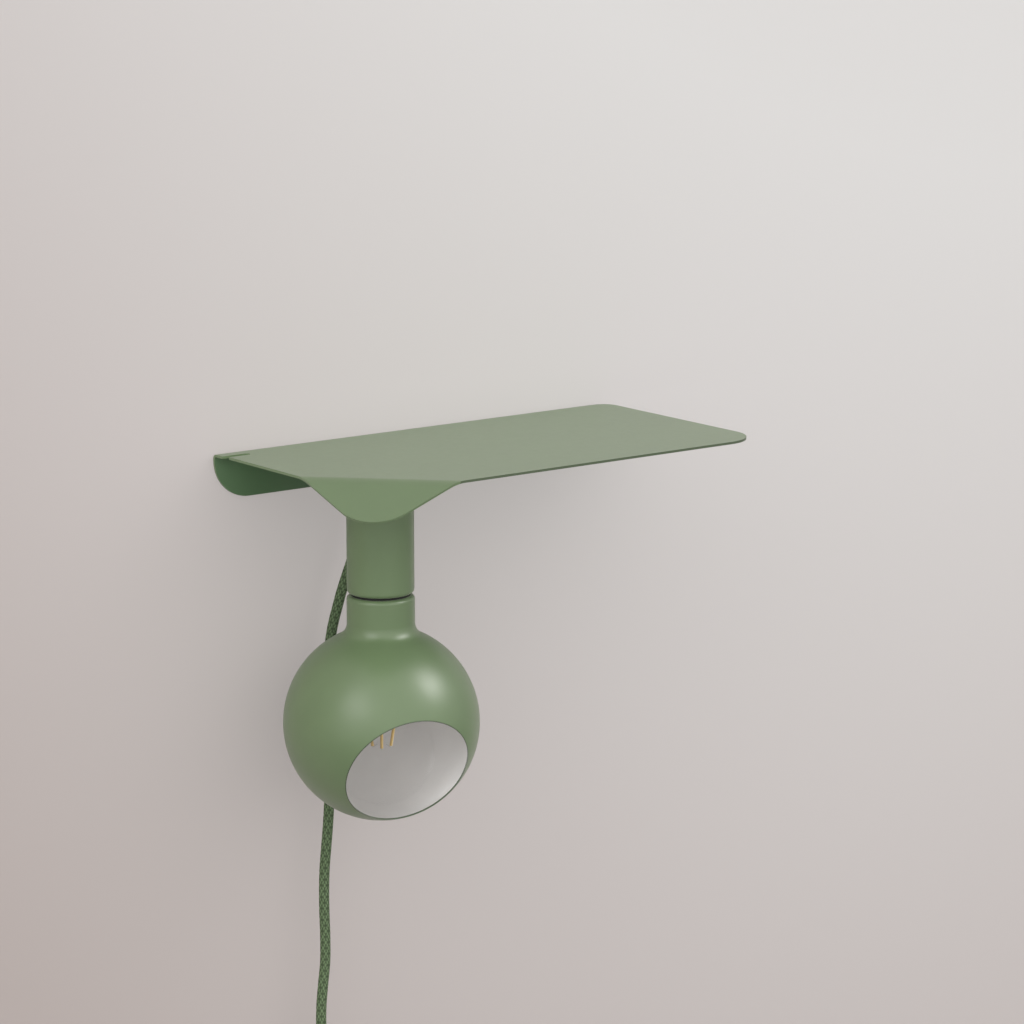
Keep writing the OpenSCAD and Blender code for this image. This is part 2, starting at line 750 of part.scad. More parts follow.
module shade_section() {
    neck_r = neck_d / 2;
    difference() {
        necked_ball(neck_r, sphere_r, neck_fillet_r, shade_top, sphere_z);
        translate([neck_r, -shade_top]) corner_cut(neck_edge_r);
        difference() {
            necked_ball(neck_r - shade_wall, sphere_r - shade_wall, neck_fillet_r + shade_wall,
                shade_ring_top, sphere_z);
            translate([neck_r - shade_wall, -shade_ring_top]) corner_cut(neck_edge_r - shade_wall);
        }
        translate([0, -shade_top - shade_wall - 1]) square([holder_r + turn_play, shade_wall + 2]);
    }
}

module shade() {
    color([0.38, 0.53, 0.35]) at_lamp() difference() {
        rotate_extrude($fn = 180) shade_section();
        translate([0, 0, -sphere_z]) rotate([0, 0, -mouth_turn]) rotate([90 + mouth_tilt, 0, 0])
            cylinder(r = sphere_r * sin(mouth_half), h = sphere_r + 1, $fn = 180);
    }
}

// ---------------------------------------------------------------- bulb

module bulb_cap() {
    color([0.75, 0.75, 0.74]) at_lamp() {
        band(cap_d, cap_d - 2 * cap_wall, cap_top + cap_wall, glass_top);
        band(cap_d, cap_d / 2 - 1, cap_top, cap_top + cap_wall);
    }
}

module bulb_insulator() {
    color([0.08, 0.08, 0.09]) at_lamp() translate([0, 0, -cap_top]) cylinder(d1 = cap_d - 4, d2 = cap_d / 2 - 2, h = collet_h);
}

module bulb_button() {
    color([0.7, 0.68, 0.6]) at_lamp() translate([0, 0, -cap_top + collet_h]) cylinder(d = 9, h = button_h);
}

module bulb_glass() {
    tube_r = cap_d / 2 - cap_wall - fit_gap;
    color([0.85, 0.9, 0.92, 0.35]) at_lamp() rotate_extrude($fn = 180) difference() {
        necked_ball(bulb_neck_d / 2, bulb_d / 2, bulb_fillet_r, glass_top - 5, bulb_tip - bulb_d / 2);
        translate([tube_r, -glass_top]) square(bulb_neck_d);
        necked_ball(bulb_neck_d / 2 - glass_t, bulb_d / 2 - glass_t, bulb_fillet_r + glass_t,
            glass_top + glass_t, bulb_tip - bulb_d / 2);
        translate([0, -glass_top - 2]) square([tube_r - glass_t, 8]);
    }
}

module bulb_stem() {
    flare_r = cap_d / 2 - cap_wall - glass_t - 3 * fit_gap;
    stem_r = stem_d / 2;
    color([0.85, 0.9, 0.92, 0.4]) at_lamp() rotate_extrude($fn = 64)
        polygon([[flare_r - 0.8, 4 - glass_top], [flare_r, 4 - glass_top], [flare_r, 1 - glass_top],
            [stem_r, -glass_top - flare_r - stem_d], [stem_r, -filament_low + 1], [stem_r - 1, -filament_low],
            [0, -filament_low], [0, -glass_top - flare_r - stem_d / 2]]);
}

function on_circle(r, i, depth) =
    let (a = filament_turn + 360 * i / filament_count) [r * cos(a), r * sin(a), -depth];

module bulb_filaments() {
    color([0.9, 0.62, 0.15]) at_lamp() for (i = [0:filament_count - 1])
        bar(on_circle(filament_top_r, i, filament_top), on_circle(filament_low_r, i, filament_low), filament_d);
}

module bulb_leads() {
    wire = 0.6;
    touch = stem_d / 2 + 0.22;
    color([0.7, 0.7, 0.7]) at_lamp() for (i = [0:filament_count - 1]) {
        bar(on_circle(touch, i, filament_top - 3), on_circle(filament_top_r, i, filament_top - 0.6), wire);
        bar(on_circle(touch, i, filament_low - 1), on_circle(filament_low_r, i, filament_low + 0.9), wire);
    }
}

// ---------------------------------------------------------------- lead and coil

module cord_tube(route, first, last, side_dir) {
    n = len(route);
    dirs = [for (i = [0:n - 1]) i == 0 ? first : i == n - 1 ? last : along(route, i)];
    tube(route, dirs, cord_d, 10, side_dir);
}

module cord_drop() {
    out = [sin(gland_turn), cos(gland_turn), 0];
    color([0.25, 0.38, 0.24]) cord_tube(drop_route, out, [0, 0, -1], [cos(gland_turn), -sin(gland_turn), 0]);
}

module cord_link() {
    color([0.25, 0.38, 0.24]) cord_tube(link_route, [0, 0, -1], heading, [0, 1, 0]);
}

module cord_tail() {
    color([0.25, 0.38, 0.24]) cord_tube(tail_route, [0, 0, -1], [0, 0, -1], [0, 1, 0]);
}

// The coil winds inwards in the rear layer, climbs while it reverses, and winds outwards in the front one
function coil_point(i) =
    let (
        swept = i * coil_sweep / coil_steps,
        r = coil_r - turn_pitch * (coil_sweep / 2 - abs(coil_sweep / 2 - swept)) / 360,
        climb = min(max((swept - coil_sweep / 2 + 90) / 180, 0), 1),
        y = -layer_pitch * (1 - cos(180 * climb)) / 2,
        a = 60 - swept
    )
    coil_centre + [r * cos(a), y, r * sin(a)];
coil_path = concat(
    [coil_in],
    [for (i = [0:coil_steps]) coil_point(i)],
    [coil_point(coil_steps) + [0, 0, -cord_d]]
);
coil_dirs = [for (i = [0:len(coil_path) - 1])
    i <= 1 ? heading : i >= len(coil_path) - 2 ? [0, 0, -1] : along(coil_path, i)];
coil_least = min([for (i = [0:coil_steps - 12]) min([for (j = [i + 12:coil_steps])
    norm(coil_point(i) - coil_point(j))])]) - cord_d;
echo(coil_gap = coil_least);

module cord_coil() {
    color([0.25, 0.38, 0.24]) tube(coil_path, coil_dirs, cord_d, 6, [0, 1, 0]);
}

// The band hugs the turns that pass under it: the outermost in front, the innermost behind
module cord_tie() {
    first = 420 - tie_turn;
    windings = floor((coil_sweep / 2 - first) / 360);
    tie_out = coil_r - turn_pitch * tie_turn / 360;
    tie_in = coil_r - turn_pitch * (first / 360 + windings);
    bulge = tie_w * tie_w / 8 / tie_in;
    inner_w = tie_out - tie_in + bulge + cord_d + 2 * tie_gap;
    inner_t = layer_pitch + cord_d + 2 * tie_gap;
    color([0.1, 0.1, 0.1]) translate(coil_centre) rotate([0, -tie_turn, 0])
        translate([(tie_out + tie_in - bulge) / 2, -layer_pitch / 2, 0]) linear_extrude(tie_w, center = true)
        difference() {
            square([inner_w + 2 * tie_t, inner_t + 2 * tie_t], center = true);
            square([inner_w, inner_t], center = true);
            for (flip = [0, 1], turn = [0, 1]) mirror([flip, 0]) mirror([0, turn])
                translate([inner_w / 2 + tie_t, inner_t / 2 + tie_t]) corner_cut(tie_t);
        }
}

// ---------------------------------------------------------------- cord switch

// Outline that is wide at its middle and arched to narrower ends
module arched(w, end_w, length) {
    sag = (w - end_w) / 2;
    r = (length * length / 4 + sag * sag) / (2 * sag);
    intersection() {
        translate([r - w / 2, 0]) circle(r, $fn = 360);
        translate([w / 2 - r, 0]) circle(r, $fn = 360);
        square([w, length], center = true);
    }
}

module switch_shape() {
    intersection() {
        linear_extrude(switch_t, center = true) arched(switch_w, switch_end_w, switch_len);
        rotate([0, 90, 0]) linear_extrude(switch_w, center = true) arched(switch_t, switch_end_t, switch_len);
    }
}

module rocker_well(low) {
    translate([-rocker_w / 2 - rocker_gap, -rocker_len / 2 - 1.3, low])
        cube([rocker_w + 2 * rocker_gap, rocker_len + 2.6, switch_t]);
}

module screw_holes(d) {
    for (side = [-1, 1]) translate([0, side * switch_screw_at, 0]) children();
}

module switch_base() {
    color([0.08, 0.08, 0.08]) at_switch() difference() {
        intersection() {
            switch_shape();
            translate([-switch_w, -switch_len, -switch_t]) cube([2 * switch_w, 2 * switch_len, switch_t]);
        }
        rocker_well(-2);
        screw_holes() {
            translate([0, 0, -switch_t]) cylinder(d = 3 + 2 * fit_gap, h = switch_t + 1, $fn = 48);
            translate([0, 0, -switch_t]) cylinder(d = switch_screw_d + 2 * fit_gap, h = switch_t - 5, $fn = 48);
        }
    }
}

module switch_cover() {
    color([0.09, 0.09, 0.09]) at_switch() difference() {
        intersection() {
            switch_shape();
            translate([-switch_w, -switch_len, 0]) cube([2 * switch_w, 2 * switch_len, switch_t]);
        }
        rocker_well(-1);
        screw_holes() translate([0, 0, -1]) cylinder(d = 3 + 2 * fit_gap, h = 5, $fn = 48);
        translate([-rocker_w / 2 - 2.4, 0, rocker_pin_up]) rotate([0, 90, 0])
            cylinder(d = rocker_pin_d + 2 * pivot_play, h = rocker_w + 4.8, $fn = 48);
    }
}

module switch_rocker() {
    end = rocker_len / 2;
    face = switch_t / 2 - rocker_pin_up;
    color([0.14, 0.14, 0.14]) at_switch() translate([0, 0, rocker_pin_up]) rotate([rocker_tilt, 0, 0]) {
        rotate([90, 0, 90]) linear_extrude(rocker_w, center = true)
            polygon([[-end, face - 1.5], [-end, face + 0.7], [0, face - 0.3], [end, face + 0.7],
                [end, face - 1.5], [4, -2.5], [-4, -2.5]]);
        rotate([0, 90, 0]) cylinder(d = rocker_pin_d, h = rocker_w + 4, center = true, $fn = 48);
    }
}

module switch_screws() {
    color([0.7, 0.7, 0.71]) at_switch() screw_holes() {
        translate([0, 0, -5.1]) cylinder(d = 3, h = 8.5, $fn = 48);
        translate([0, 0, -7]) difference() {
            cylinder(d = switch_screw_d, h = 1.9, $fn = 48);
            translate([-3, -0.4, -1]) cube([6, 0.8, 1.8]);
        }
    }
}

// ---------------------------------------------------------------- plug

module at_plug() {
    translate(plug_at) children();
}

module plug_body() {
    low = -relief_len - plug_len;
    shoulder_r = 8;
    color([0.08, 0.08, 0.08]) at_plug() difference() {
        union() {
            translate([0, 0, -relief_len]) cylinder(d1 = plug_t - 2, d2 = cord_d + 2, h = relief_len);
            intersection() {
                rotate([90, 0, 0]) linear_extrude(plug_t, center = true) difference() {
                    translate([-plug_w / 2, low]) square([plug_w, plug_len]);
                    for (flip = [0, 1]) mirror([flip, 0]) {
                        translate([plug_w / 2, -relief_len]) corner_cut(shoulder_r);
                        translate([plug_w / 2 + 7, low + plug_len / 2 - 2]) circle(10);
                        translate([plug_w / 2, low]) mirror([0, 1]) corner_cut(4);
                    }
                }
                linear_extrude(4 * plug_len, center = true) difference() {
                    square([plug_w, plug_t], center = true);
                    for (flip = [0, 1], turn = [0, 1]) mirror([flip, 0]) mirror([0, turn])
                        translate([plug_w / 2, plug_t / 2]) corner_cut(5);
                }
            }
        }
        for (side = [-1, 1]) translate([side * pin_spacing / 2, 0, low - 1])
            cylinder(d = pin_d + 2 * fit_gap, h = pin_root + 1);
    }
}

module plug_pins() {
    low = -relief_len - plug_len;
    color([0.8, 0.78, 0.7]) at_plug() for (side = [-1, 1]) translate([side * pin_spacing / 2, 0, low]) {
        translate([0, 0, -sleeve_len]) cylinder(d = pin_d - 0.8, h = sleeve_len + pin_root - 0.2);
        translate([0, 0, pin_d / 2 - pin_len]) cylinder(d = pin_d, h = pin_len - sleeve_len - pin_d / 2);
        translate([0, 0, pin_d / 2 - pin_len]) sphere(d = pin_d);
    }
}

module pin_sleeves() {
    low = -relief_len - plug_len;
    color([0.1, 0.1, 0.1]) at_plug() for (side = [-1, 1])
        translate([side * pin_spacing / 2, 0, low - sleeve_len]) difference() {
            cylinder(d = pin_d, h = sleeve_len + pin_root - 0.2);
            translate([0, 0, -1]) cylinder(d = pin_d - 0.8 + fit_gap, h = sleeve_len + pin_root + 2);
        }
}

// ---------------------------------------------------------------- the lamp

shelf();
magnet_pot();
magnet_ring();
pivot_screw();
pivot_nut();
swivel_washer();
carrier();
cup();
cord_gland();
gland_nut();
grip_screw();
inner_lead();
wire_live();
wire_neutral();
terminals();
terminal_screws();
lampholder();
holder_core();
holder_shell();
holder_contact();
cup_ring();
shade_washer();
shade_ring();
shade();
bulb_cap();
bulb_insulator();
bulb_button();
bulb_glass();
bulb_stem();
bulb_filaments();
bulb_leads();
cord_drop();
switch_base();
switch_cover();
switch_rocker();
switch_screws();
cord_link();
cord_coil();
cord_tie();
cord_tail();
plug_body();
plug_pins();
pin_sleeves();
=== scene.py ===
"""Looks of the wall lamp with shelf: the camera, the braided lead, the materials, the wall and the light."""
import json
import math

import bpy
import numpy as np
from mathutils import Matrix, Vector


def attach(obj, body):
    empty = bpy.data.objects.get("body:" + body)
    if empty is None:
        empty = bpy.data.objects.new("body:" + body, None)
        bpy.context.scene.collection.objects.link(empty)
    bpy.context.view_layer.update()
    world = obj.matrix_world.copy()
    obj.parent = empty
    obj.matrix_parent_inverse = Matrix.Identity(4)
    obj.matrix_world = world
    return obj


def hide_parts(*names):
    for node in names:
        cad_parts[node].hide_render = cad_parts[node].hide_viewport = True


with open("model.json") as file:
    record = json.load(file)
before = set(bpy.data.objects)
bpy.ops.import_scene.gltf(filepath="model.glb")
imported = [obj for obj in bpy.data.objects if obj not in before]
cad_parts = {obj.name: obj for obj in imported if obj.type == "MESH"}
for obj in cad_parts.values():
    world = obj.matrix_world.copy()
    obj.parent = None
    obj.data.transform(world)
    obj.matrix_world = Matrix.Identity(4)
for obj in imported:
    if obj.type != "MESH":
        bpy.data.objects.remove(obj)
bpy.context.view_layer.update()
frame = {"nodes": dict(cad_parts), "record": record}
nodes = frame["nodes"]

MM = 0.001


# ---------------------------------------------------------------- camera

CAMERA_PLACE = (-1.2961, -1.8074, 0.4179)
LOOK_DOWN, LOOK_RIGHT = 10.776, 37.18  # degrees


def make_camera():
    """Stands in front of the lamp, to its left and above it, and looks down on its shelf."""
    data = bpy.data.cameras.new("camera")
    data.lens = 127.9
    data.sensor_width = 36.0
    data.shift_y = -0.05
    data.clip_end = 50.0
    camera = bpy.data.objects.new("camera", data)
    camera.location = CAMERA_PLACE
    camera.rotation_euler = (math.radians(90 - LOOK_DOWN), 0.0, math.radians(-LOOK_RIGHT))
    bpy.context.scene.collection.objects.link(camera)
    bpy.context.scene.camera = camera


make_camera()


# ---------------------------------------------------------------- meshes

SPLINE_STEPS = 24  # points of the curve from one given point to the next


def smooth_path(points, step):
    """Points every step along a smooth curve through the given points."""
    p = np.array(points, float)
    p = np.vstack([2 * p[0] - p[1], p, 2 * p[-1] - p[-2]])
    dense = []
    for a, b, c, d in zip(p[:-3], p[1:-2], p[2:-1], p[3:]):
        for t in np.linspace(0, 1, SPLINE_STEPS, endpoint=False):
            dense.append(
                0.5
                * (
                    2 * b
                    + (c - a) * t
                    + (2 * a - 5 * b + 4 * c - d) * t * t
                    + (3 * b - a - 3 * c + d) * t ** 3
                )
            )
    dense.append(p[-2])
    dense = np.array(dense)
    run = np.concatenate([[0], np.cumsum(np.linalg.norm(np.diff(dense, axis=0), axis=1))])
    count = max(int(round(run[-1] / step)), 2)
    at = np.linspace(0, run[-1], count + 1)
    return np.stack([np.interp(at, run, dense[:, k]) for k in range(3)], axis=1)


def rings_along(path, start_side):
    """Two side directions for each point of a path, turned as little as possible from point to point."""
    tangents = np.gradient(path, axis=0)
    tangents /= np.linalg.norm(tangents, axis=1)[:, None]
    side = np.array(start_side, float)
    sides = []
    for t in tangents:
        side = side - t * side.dot(t)
        side /= np.linalg.norm(side)
        sides.append(side)
    sides = np.array(sides)
    return sides, np.cross(tangents, sides)


# The braid: yarns each way round the lead, the length of a repeat along it, and the depth between yarns
STRANDS = 10
LAY = 3.6 * MM
WEAVE_DEPTH = 0.00014
FIRST_SIDE = (0.3, 0.9, 0.1)


def braided_tube(name, path, diameter, around):
    """Tube with the low bumps of a braided sleeve. Its map runs round it in U and along it, in metres, in V."""
    one, two = rings_along(path, FIRST_SIDE)
    along = np.concatenate([[0], np.cumsum(np.linalg.norm(np.diff(path, axis=0), axis=1))])
    angles = np.linspace(0, 2 * math.pi, around, endpoint=False)
    verts = []
    for p, a, b, s in zip(path, one, two, along):
        left = angles * STRANDS + 2 * math.pi * s / LAY
        right = angles * STRANDS - 2 * math.pi * s / LAY
        over_left = (0.5 + 0.5 * np.cos(left)) * (0.5 + 0.5 * np.cos(right / 2))
        over_right = (0.5 + 0.5 * np.cos(right)) * (0.5 - 0.5 * np.cos(left / 2))
        r = diameter / 2 - WEAVE_DEPTH * (1 - np.maximum(over_left, over_right))
        verts.extend(p + np.outer(r * np.cos(angles), a) + np.outer(r * np.sin(angles), b))
    rings = len(path)
    faces = []
    for i in range(rings - 1):
        low, high = i * around, (i + 1) * around
        for k in range(around):
            after = (k + 1) % around
            faces.append((low + k, low + after, high + after, high + k))
    faces.append(tuple(range(around - 1, -1, -1)))
    faces.append(tuple(range((rings - 1) * around, rings * around)))
    mesh = bpy.data.meshes.new(name)
    mesh.from_pydata([tuple(v) for v in verts], [], faces)
    uv = mesh.uv_layers.new(name="braid")
    flat = []
    for i in range(rings - 1):
        for k in range(around):
            u0, u1 = k / around, (k + 1) / around
            flat += [u0, along[i], u1, along[i], u1, along[i + 1], u0, along[i + 1]]
    flat += [0.0] * (2 * (len(uv.data) - len(flat) // 2))
    uv.data.foreach_set("uv", flat)
    mesh.polygons.foreach_set("use_smooth", [True] * len(mesh.polygons))
    obj = bpy.data.objects.new(name, mesh)
    bpy.context.scene.collection.objects.link(obj)
    return obj


# ---------------------------------------------------------------- lead

CORD_MM = 6.5
CORD = CORD_MM * MM
DROP_STEP, DROP_AROUND = 0.8 * MM, 60  # the drop is in view, so it has finer rings than the spare lead
SPARE_STEP, SPARE_AROUND = 1.6 * MM, 30

# Routes in millimetres, as in the model's source
DROP_ROUTE = [
    (-68.4, -46.4, -12), (-67.2, -43.6, -12), (-65, -38.4, -12.8), (-62.7, -32.9, -15.2),
    (-60.4, -27.8, -20), (-58.1, -23.2, -27.5), (-56.9, -20.8, -36), (-57.6, -19.3, -44),
    (-60, -18.6, -51.5), (-62.7, -17.9, -59.5), (-65.6, -17, -68), (-68.4, -16, -77),
    (-70.5, -14.8, -86), (-72.6, -13.5, -95.5), (-74.2, -12.5, -106), (-75, -12, -118),
    (-75.1, -11.7, -130), (-75, -11.5, -143), (-75, -11.5, -161), (-75.2, -11.5, -179),
    (-75.4, -11.6, -196), (-76.2, -12, -212), (-78, -13.1, -225), (-80.3, -14.4, -238),
    (-82.3, -15.5, -250), (-83.5, -16.5, -263), (-84, -17.3, -277), (-84.1, -18.1, -292),
    (-84.9, -19, -308), (-86.9, -19.6, -321.5), (-88.8, -20.2, -335), (-89.9, -21.2, -348),
    (-90.1, -22, -360), (-90, -22, -368),
]
LINK_ROUTE = [
    (-90, -22, -430), (-90, -22, -438), (-88.6, -22, -448.4), (-84.6, -22, -458),
    (-78.3, -22, -466.3), (-70, -22, -472.6),
]
TAIL_ROUTE = [(-40.1, -29.1, -531), (-40.1, -29.1, -538)]
COIL_R = 48.5
TURN_PITCH = 7.1
LAYER_PITCH = 7.1
COIL_TURNS = 6
LINK_DIP = 30  # degrees that the link heads down where it ends
COIL_START = 60  # place of the coil's first point, in degrees
COIL_STEP = 15  # degrees from point to point
CROSSING = 180  # degrees in which the lead passes from the rear layer to the front one


def coil_points():
    """The coil's turns, inwards in the rear layer and outwards in the front one, as in the model's source."""
    dip, start = math.radians(LINK_DIP), math.radians(COIL_START)
    heading = np.array([math.cos(dip), 0, -math.sin(dip)])
    join = np.array(LINK_ROUTE[-1], float) + CORD_MM * heading
    centre = join - COIL_R * np.array([math.cos(start), 0, math.sin(start)])
    sweep = COIL_START + 360 * COIL_TURNS
    points = []
    for turned in np.linspace(0, sweep, sweep // COIL_STEP + 1):
        r = COIL_R - TURN_PITCH * (sweep / 2 - abs(sweep / 2 - turned)) / 360
        climb = min(max((turned - sweep / 2 + CROSSING / 2) / CROSSING, 0), 1)
        y = -LAYER_PITCH * (1 - math.cos(math.radians(180 * climb))) / 2
        a = math.radians(COIL_START - turned)
        points.append(centre + np.array([r * math.cos(a), y, r * math.sin(a)]))
    return [tuple(p) for p in points]


def make_cords():
    """The stretch down to the switch, and the one from the switch through the coil to the plug."""
    drop_path = smooth_path(np.array(DROP_ROUTE) * MM, DROP_STEP)
    drop = braided_tube("lead_to_switch", drop_path, CORD, DROP_AROUND)
    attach(drop, "lamp")
    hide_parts("cord_drop")
    spare_path = smooth_path(np.array(LINK_ROUTE + coil_points() + TAIL_ROUTE) * MM, SPARE_STEP)
    spare = braided_tube("lead_to_plug", spare_path, CORD, SPARE_AROUND)
    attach(spare, "lamp")
    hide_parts("cord_link", "cord_coil", "cord_tail")
    return drop, spare


drop, spare = make_cords()


# ---------------------------------------------------------------- materials


class Finish:
    """A material's node tree, with short ways to add nodes and join them."""

    def __init__(self, name, colour, roughness, metallic=0.0):
        self.material = bpy.data.materials.new(name)
        self.material.use_nodes = True
        self.tree = self.material.node_tree
        self.shader = self.tree.nodes["Principled BSDF"]
        self.output = self.tree.nodes["Material Output"]
        self.shader.inputs["Base Color"].default_value = (*colour, 1)
        self.shader.inputs["Roughness"].default_value = roughness
        self.shader.inputs["Metallic"].default_value = metallic

    def node(self, kind, **values):
        made = self.tree.nodes.new(kind)
        for key, value in values.items():
            setattr(made, key, value)
        return made

    def join(self, source, target):
        self.tree.links.new(source, target)

    def place(self):
        """Coordinates on the object, in metres."""
        return self.node("ShaderNodeTexCoord").outputs["Object"]

    def noise(self, scale, detail=3.0, roughness=0.5, vector=None):
        made = self.node("ShaderNodeTexNoise")
        made.inputs["Scale"].default_value = scale
        made.inputs["Detail"].default_value = detail
        made.inputs["Roughness"].default_value = roughness
        self.join(vector or self.place(), made.inputs["Vector"])
        return made.outputs["Fac"]

    def math(self, operation, a, b=None, clamp=False):
        made = self.node("ShaderNodeMath", operation=operation, use_clamp=clamp)
        for value, socket in zip((a, b), made.inputs):
            if value is None:
                continue
            if isinstance(value, (int, float)):
                socket.default_value = value
            else:
                self.join(value, socket)
        return made.outputs[0]

    def ramp(self, factor, stops):
        """Colours at places from 0 to 1."""
        made = self.node("ShaderNodeValToRGB")
        while len(made.color_ramp.elements) < len(stops):
            made.color_ramp.elements.new(0.5)
        for element, (at, colour) in zip(made.color_ramp.elements, stops):
            element.position = at
            element.color = (*colour, 1)
        self.join(factor, made.inputs["Fac"])
        return made.outputs["Color"]

    def spread(self, factor, low, high):
        """A number from low to high, as the factor goes from 0 to 1."""
        made = self.node("ShaderNodeMapRange")
        made.inputs["To Min"].default_value = low
        made.inputs["To Max"].default_value = high
        self.join(factor, made.inputs["Value"])
        return made.outputs["Result"]

    def bump(self, height, distance, strength):
        made = self.node("ShaderNodeBump")
        made.inputs["Distance"].default_value = distance
        made.inputs["Strength"].default_value = strength
        self.join(height, made.inputs["Height"])
        self.join(made.outputs["Normal"], self.shader.inputs["Normal"])


# The painted shade line round an opening ends between these distances outside its radius, and has this share of the
# coat's tone
LINE_FROM, LINE_TO, LINE_SHADE_TONE = 0.0002, 0.0006, 0.3


def shades_of(colour, low, high):
    return tuple(c * low for c in colour), tuple(c * high for c in colour)


def paint_shade_line(f, coat, edge):
    """Draws a thin dark line of painted shade round an opening, given by a centre, the axis to its middle and its
    radius.
    """
    centre, axis, radius = edge
    away = f.node("ShaderNodeVectorMath", operation="SUBTRACT")
    away.inputs[1].default_value = centre
    f.join(f.place(), away.inputs[0])
    across = f.node("ShaderNodeVectorMath", operation="CROSS_PRODUCT")
    across.inputs[1].default_value = axis
    f.join(away.outputs["Vector"], across.inputs[0])
    reach = f.node("ShaderNodeVectorMath", operation="LENGTH")
    f.join(across.outputs["Vector"], reach.inputs[0])
    fade = f.node("ShaderNodeMapRange")
    fade.inputs["From Min"].default_value = radius + LINE_FROM
    fade.inputs["From Max"].default_value = radius + LINE_TO
    fade.inputs["To Min"].default_value = LINE_SHADE_TONE
    ahead = f.node("ShaderNodeVectorMath", operation="DOT_PRODUCT")
    ahead.inputs[1].default_value = axis
    f.join(away.outputs["Vector"], ahead.inputs[0])
    behind = f.math("LESS_THAN", ahead.outputs["Value"], 0)
    f.join(f.math("ADD", reach.outputs["Value"], behind), fade.inputs["Value"])
    dull = f.node("ShaderNodeVectorMath", operation="SCALE")
    f.join(coat, dull.inputs[0])
    f.join(fade.outputs["Result"], dull.inputs["Scale"])
    return dull.outputs["Vector"]


def powder_coat(name, colour, roughness=0.35, sheen=0.15, edge=None):
    """Fine satin powder coat: a little orange peel, and cloudy differences in tone."""
    f = Finish(name, colour, roughness)
    f.shader.inputs["Specular IOR Level"].default_value = 0.65
    f.shader.inputs["Sheen Weight"].default_value = sheen
    f.shader.inputs["Sheen Roughness"].default_value = 0.4
    dark, light = shades_of(colour, 0.975, 1.025)
    coat = f.ramp(f.noise(55, 4.0), [(0.3, dark), (0.7, light)])
    if edge:
        coat = paint_shade_line(f, coat, edge)
    f.join(coat, f.shader.inputs["Base Color"])
    f.join(f.spread(f.noise(240, 2.0), roughness - 0.03, roughness + 0.03), f.shader.inputs["Roughness"])
    f.bump(f.noise(1500, 2.0, 0.55), 0.00005, 0.35)
    return f.material


def moulded(name, colour, roughness=0.5):
    """Moulded plastic with a fine spark-eroded grain."""
    f = Finish(name, colour, roughness)
    dark, light = shades_of(colour, 0.9, 1.1)
    f.join(f.ramp(f.noise(90, 3.0), [(0.35, dark), (0.65, light)]), f.shader.inputs["Base Color"])
    f.join(f.spread(f.noise(700, 2.0), roughness - 0.06, roughness + 0.08), f.shader.inputs["Roughness"])
    f.bump(f.noise(2600, 2.0, 0.6), 0.00006, 0.5)
    return f.material


def plain_metal(name, colour, roughness):
    """Turned or plated metal: fine lines, and a slightly uneven polish."""
    f = Finish(name, colour, roughness, 1.0)
    dark, light = shades_of(colour, 0.88, 1.06)
    f.join(f.ramp(f.noise(120, 4.0), [(0.3, dark), (0.7, light)]), f.shader.inputs["Base Color"])
    f.join(f.spread(f.noise(500, 3.0), roughness - 0.08, roughness + 0.1), f.shader.inputs["Roughness"])
    stretch = f.node("ShaderNodeMapping")
    stretch.inputs["Scale"].default_value = (1, 1, 60)
    f.join(f.place(), stretch.inputs["Vector"])
    f.bump(f.noise(150, 2.0, 0.5, stretch.outputs["Vector"]), 0.00002, 0.4)
    return f.material


def braid(name, colour):
    """Woven sleeve: yarns that pass over and under each other, painted lighter where they come up and darker in the
    gaps, as painted light and shade, with an uneven pile.
    """
    f = Finish(name, colour, 0.9)
    f.shader.inputs["Specular IOR Level"].default_value = 0.25
    uv = f.node("ShaderNodeUVMap", uv_map="braid")
    parts = f.node("ShaderNodeSeparateXYZ")
    f.join(uv.outputs["UV"], parts.inputs["Vector"])
    loose = f.spread(f.noise(420, 2.0), -0.28, 0.28)
    around = f.math("ADD", f.math("MULTIPLY", parts.outputs["X"], STRANDS), loose)
    along = f.math("MULTIPLY", parts.outputs["Y"], 1 / LAY)
    left, right = f.math("ADD", around, along), f.math("SUBTRACT", around, along)

    def wave(turns, rate, swing):
        value = f.math("MULTIPLY_ADD", f.math("COSINE", f.math("MULTIPLY", turns, rate * math.pi)), swing)
        value.node.inputs[2].default_value = 0.5
        return value

    over_left = f.math("MULTIPLY", wave(left, 2, 0.5), wave(right, 1, 0.5))
    over_right = f.math("MULTIPLY", wave(right, 2, 0.5), wave(left, 1, -0.5))
    yarn = f.spread(f.noise(1300, 3.0, 0.65), 0.35, 1.65)
    mixed = f.math("MULTIPLY", f.math("MAXIMUM", over_left, over_right), yarn, clamp=True)
    # Painted shade in the gaps between yarns and painted light on their crests; the pile's noise is the yarn's own
    # uneven tone
    painted_shade_gap, mid, painted_light_tip = (tuple(c * k for c in colour) for k in (0.74, 1.32, 2.3))
    f.join(f.ramp(mixed, [(0.05, painted_shade_gap), (0.35, mid), (0.9, painted_light_tip)]), f.shader.inputs["Base Color"])
    f.bump(mixed, 0.00022, 0.7)
    return f.material


def clear_glass(name):
    """Thin clear glass: what lies behind it shows undistorted, under a faint reflection at its edges."""
    f = Finish(name, (1, 1, 1), 0.02)
    through = f.node("ShaderNodeBsdfTransparent")
    shine = f.node("ShaderNodeBsdfGlossy")
    f.join(f.spread(f.noise(60, 2.0), 0.03, 0.08), shine.inputs["Roughness"])
    edge = f.node("ShaderNodeLayerWeight")
    edge.inputs["Blend"].default_value = 0.3
    mix = f.node("ShaderNodeMixShader")
    f.join(f.math("MULTIPLY", f.math("POWER", edge.outputs["Facing"], 3), 0.1), mix.inputs["Fac"])
    f.join(through.outputs["BSDF"], mix.inputs[1])
    f.join(shine.outputs["BSDF"], mix.inputs[2])
    f.join(mix.outputs["Shader"], f.output.inputs["Surface"])
    f.tree.nodes.remove(f.shader)
    return f.material


